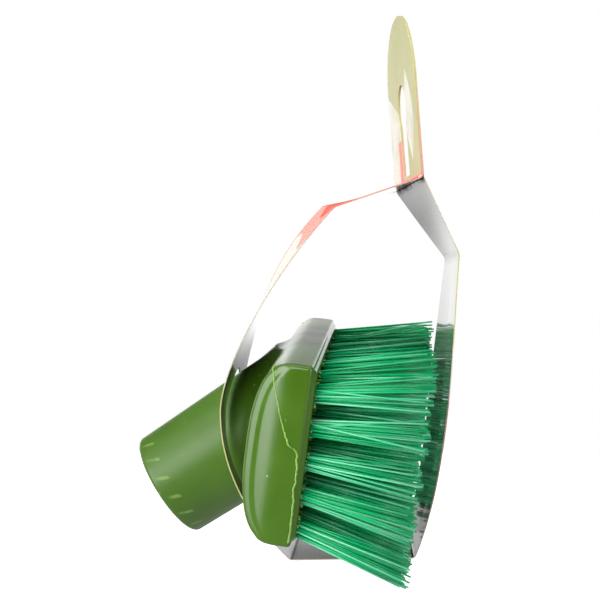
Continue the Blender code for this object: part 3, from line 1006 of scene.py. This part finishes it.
def cut_socket_hole(panel):
    """Cuts the socket's round hole through the back panel."""
    bm = bmesh.new()
    bmesh.ops.create_cone(
        bm, cap_ends=True, segments=96, radius1=SOCKET_HOLE_RADIUS * MM,
        radius2=SOCKET_HOLE_RADIUS * MM, depth=0.12,
    )
    for face in bm.faces:
        face.material_index = 2
    hole = piece("socket_hole", mesh_from(bm, "socket_hole"), *panel.data.materials)
    hole.matrix_world = Matrix.Rotation(-(math.pi / 2 + SOCKET_SLOPE), 4, "Y")
    cut = panel.modifiers.new("hole", "BOOLEAN")
    cut.operation = "DIFFERENCE"
    cut.object = hole
    mesh = applied(panel)
    panel.modifiers.clear()
    bpy.data.objects.remove(hole)
    panel.data = mesh
    smooth(mesh)


def make_fold(name, mesh, rows, parent, materials):
    """A fold piece across a joint, between the two panels."""
    fold = piece(name, mesh, *materials)
    first, last = rows[0].mean(axis=0), rows[-1].mean(axis=0)
    crease = rows[0, 1] - rows[0, 0]
    crease /= np.linalg.norm(crease)
    over = (last - first) - (last - first).dot(crease) * crease
    middle = (first + last) / 2
    start, end = (middle - over / 2) * MM, (middle + over / 2) * MM
    if parent[1] == "after":
        start, end = end, start
    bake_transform(fold)


def tab_ply(name, offset, print_out):
    """One ply of the tab: an arch-topped sheet with a slot, printed on its outer face."""
    middle, along, up, out = tab_axes()
    curve = bpy.data.curves.new(name, "CURVE")
    curve.dimensions = "2D"
    curve.fill_mode = "BOTH"
    curve.extrude = CARD / 2
    arch = [(-SLEEVE_HALF_WIDTH, FOLD_RADIUS), (SLEEVE_HALF_WIDTH, FOLD_RADIUS)]
    for angle in np.linspace(0, math.pi, 61):
        height = TAB_STRAIGHT + TAB_ARCH * math.sin(angle)
        arch.append((SLEEVE_HALF_WIDTH * math.cos(angle), height))
    throat = math.asin(SLOT_HALF_WIDTH / SLOT_RADIUS)
    slot = [(-SLOT_HALF_WIDTH, SLOT_BOTTOM), (SLOT_HALF_WIDTH, SLOT_BOTTOM)]
    for angle in np.linspace(throat, 2 * math.pi - throat, 41):
        slot.append((SLOT_RADIUS * math.sin(angle), SLOT_CENTRE - SLOT_RADIUS * math.cos(angle)))
    for corners in (arch, slot):
        spline = curve.splines.new("POLY")
        spline.points.add(len(corners) - 1)
        for point, (x, y) in zip(spline.points, corners):
            point.co = (x, y, 0.0, 1.0)
        spline.use_cyclic_u = True
    outline = piece(name + "_outline", curve)
    mesh = applied(outline)
    bpy.data.objects.remove(outline)
    bm = bmesh.new()
    bm.from_mesh(mesh)
    bmesh.ops.remove_doubles(bm, verts=bm.verts, dist=0.001)
    bmesh.ops.recalc_face_normals(bm, faces=bm.faces)
    layer = bm.loops.layers.uv.new("UVMap") if not bm.loops.layers.uv else bm.loops.layers.uv[0]
    tint = bm.verts.layers.float_color.new("tint")
    for vert in bm.verts:
        colour = RED if vert.co.y < TAB_RED_HEIGHTS[print_out] else LIME
        vert[tint] = (*colour, 1.0 if vert.co.z * print_out > 0 else 0.0)
    for face in bm.faces:
        face.normal_update()
        face.smooth = False
        outward = face.normal.z * print_out
        face.material_index = 0 if outward > 0.5 else 1 if outward < -0.5 else 2
        for loop in face.loops:
            loop[layer].uv = (loop.vert.co.y / 100, loop.vert.co.x / 100)
    bm.to_mesh(mesh)
    bm.free()
    mesh.name = name
    mesh.uv_layers[0].name = "UVMap"
    axes = Matrix(np.column_stack([along, up, out]).tolist()).to_4x4()
    place = Matrix.Translation(middle + offset * out) @ axes
    mesh.transform(Matrix.Scale(MM, 4) @ place)
    return mesh


def ridge_end(offset):
    """The tab crease moved sideways for one ply."""
    (x, z), shift = TAB_CREASE
    return (x + offset, z), shift


def tab_strip(offset):
    """Two rows up the tab's cut sides from its crease, enough to start the ply."""
    _, _, up, _ = tab_axes()
    foot = ends_of(ridge_end(offset))
    return np.array([foot, foot + up * 2 * FOLD_RADIUS])


def warp_far_side(sheet, along, across, span, amount, end=1.0, power=1.0):
    """Bends a panel's far side to the left, in one hump from its start to an end along it."""
    rows = slice(span[0], span[1] + 1)
    share = (along[rows] - along[rows][0]) / (along[rows][-1] - along[rows][0])
    far_side = np.clip((across + 8.0) / 38.0, 0, 1) ** 1.4
    hump = np.sin(np.pi * np.clip(share / end, 0, 1) ** power)
    sheet[rows, :, 0] -= amount * hump[:, None] * far_side


def make_sleeve(printed, inside, edge, tab_print):
    rng = np.random.default_rng(3)
    rear, front = ridge_end(-PLY_OFFSET), ridge_end(PLY_OFFSET)
    back = np.concatenate([
        curve_between(ROOF_CREASE, BACK_BELLY, (-17.5, -19.0), (0.0, 18.0), 26),
        curve_between(BACK_BELLY, BACK_CREASE, (0.0, -20.0), (-13.1, 12.2), 26)[1:],
    ])
    strips = [
        tab_strip(-PLY_OFFSET)[::-1],
        straight_between(rear, ROOF_CREASE, 14),
        back,
        straight_between(BACK_CREASE, FRONT_CREASE, 14),
        curve_between(FRONT_CREASE, SHOULDER_CREASE, (10.8, 27.9), (-2.4, -39.9), 36),
        straight_between(SHOULDER_CREASE, front, 14),
        tab_strip(PLY_OFFSET),
    ]
    sheet, normal, along, spans = loop_sheet(strips)
    across = np.linspace(-SLEEVE_HALF_WIDTH, SLEEVE_HALF_WIDTH, sheet.shape[1])
    sheet = waved(sheet, normal, along, rng)
    warp_far_side(sheet, along, across, spans[8], FRONT_WARP, power=0.75)
    warp_far_side(sheet, along, across, spans[4], BACK_WARP, end=0.42)
    materials = (printed, inside, edge)

    # How deep in a fold each row is: it masks the painted shade inside the card and the wear on
    # its print.
    crease = np.zeros(len(along))
    for first, last in spans[1::2]:
        depth = 1.0 if first < 10 or last > len(along) - 10 else 0.25
        place = (along[first] + along[last]) / 2
        crease = np.maximum(crease, depth * np.exp(-(((along - place) / 1.3) ** 2)))

    def cut(name, span):
        rows = slice(span[0], span[1] + 1)
        mesh = card_mesh(name, sheet[rows], normal[rows], along[rows], across, crease[rows])
        return mesh, sheet[rows]

    panels = (
        (2, "roof_card", "roof_panel", "roof"),
        (4, "back_card", "back_panel", "sleeve_back"),
        (6, "bottom_card", "bottom_panel", "bottom"),
        (8, "front_card", "front_panel", "front"),
        (10, "shoulder_card", "front_shoulder", "shoulder"),
    )
    for index, name, node, body in panels:
        panel = piece(name, cut(name, spans[index])[0], *materials)
        if node == "back_panel":
            cut_socket_hole(panel)
        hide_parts(node)
        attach(panel, body)
    folds = (
        (1, "rear_tab_fold", ("roof", "after"), "rear_tab"),
        (3, "roof_fold", ("sleeve_back", "after"), "roof"),
        (5, "back_fold", ("sleeve_back", "before"), "bottom"),
        (7, "front_fold", ("bottom", "before"), "front"),
        (9, "shoulder_fold", ("front", "before"), "shoulder"),
        (11, "front_tab_fold", ("shoulder", "before"), "front_tab"),
    )
    for index, name, parent, child in folds:
        mesh, rows = cut(name, spans[index])
        make_fold(name, mesh, rows[:, [0, -1]], parent, materials)

    for name, node, offset, body, way in (
        ("rear_tab_card", "rear_tab_ply", -PLY_OFFSET, "rear_tab", -1),
        ("front_tab_card", "front_tab_ply", PLY_OFFSET, "front_tab", 1),
    ):
        ply = piece(name, tab_ply(name, offset, way), tab_print, inside, edge)
        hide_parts(node)
        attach(ply, body)


# Studio ----------------------------------------------------------------------------------------


def make_floor():
    """A pale floor well below the object, white to the camera away from the middle."""
    material, tree, shader = principled("studio_floor", Roughness=0.9)
    shader.inputs["Base Color"].default_value = (0.95, 0.95, 0.945, 1.0)
    shader.inputs["Emission Color"].default_value = (1.0, 1.0, 1.0, 1.0)
    place = add(tree, "ShaderNodeTexCoord").outputs["Object"]
    away = vector_math("LENGTH", vector_math("MULTIPLY", place, (1.0, 1.0, 0.0)))
    seen = add(tree, "ShaderNodeLightPath").outputs["Is Camera Ray"]
    glow = product(ramp(away, 0.4, 2.4, 0.45, 1.0), seen)
    tree.links.new(glow, shader.inputs["Emission Strength"])
    bm = bmesh.new()
    bmesh.ops.create_circle(bm, cap_ends=True, segments=96, radius=FLOOR_RADIUS)
    mesh = mesh_from(bm, "studio_floor")
    mesh.transform(Matrix.Translation((0.0, 0.0, FLOOR_HEIGHT)))
    piece("studio_floor", mesh, material)


def make_world():
    """A white backdrop behind the object up to just above the horizon, a dim room that is
    brighter above and to the left, and one soft glow at the left front."""
    world = bpy.data.worlds.new("studio")
    bpy.context.scene.world = world
    world.use_nodes = True
    tree = world.node_tree
    surface = tree.nodes["Background"]
    way = add(tree, "ShaderNodeTexCoord").outputs["Generated"]
    x, y, z = add(tree, "ShaderNodeSeparateXYZ", {0: way}).outputs
    not_low = ramp(z, -0.20, -0.13, 0.08, 1.0)
    backdrop = product(
        ramp(z, 0.120, 0.127, 1.0, 0.0),
        maths("MAXIMUM", not_low, ramp(x, -0.30, -0.12, 1.0, 0.0)),
        ramp(y, -0.15, 0.30),
    )
    room = product(
        ramp(z, -0.05, 0.55),
        ramp(x, 0.5, -0.8, 0.35, 1.0),
        ROOM_LIGHT,
        ramp(y, -0.1, 0.5, 1.0, 0.35),
    )
    towards = vector_math("DOT_PRODUCT", way, GLOW_WAY)
    glow = ramp(towards, 0.91, 0.998, 0.0, GLOW_LIGHT, interpolation_type="SMOOTHSTEP")
    room = maths("ADD", maths("ADD", room, 0.05), glow)
    light = mix_colour(backdrop, room, (BACKDROP_LIGHT,) * 3)
    seen = add(tree, "ShaderNodeLightPath").outputs["Is Camera Ray"]
    tree.links.new(mix_colour(seen, light, (1.0, 1.0, 1.0)), surface.inputs["Color"])
    surface.inputs["Strength"].default_value = 1.0


def soft_light(name, place, target, width, height, power):
    light = bpy.data.lights.new(name, "AREA")
    light.shape = "RECTANGLE"
    light.size, light.size_y, light.energy = width, height, power
    obj = linked(name, light)
    aimed(obj, place, target)
    obj.visible_camera = False


def make_camera():
    camera = bpy.data.cameras.new("camera")
    camera.sensor_width = 36.0
    camera.lens = 77.8
    camera.clip_start = 0.01
    obj = linked("camera", camera)
    aimed(obj, (0.07868, -0.45729, 0.10634), (0.04751, 0.0, 0.06745))
    bpy.context.scene.camera = obj


# Making it all ---------------------------------------------------------------------------------

make_camera()
bpy.context.scene.view_settings.view_transform = "Standard"
speckle = make_speckle_group()
grain = make_grain_group()
torn_flash = make_burr_plastic(grain)
make_moulding(make_moulded_plastic(speckle, grain))
make_flash(torn_flash)
make_bristles(make_filament(grain), torn_flash)
make_sleeve(
    make_card_print(speckle),
    make_card_inside(speckle, grain),
    make_card_edge(grain),
    make_tab_print(speckle, grain),
)

make_floor()
make_world()
for values in SOFT_LIGHTS:
    soft_light(*values)
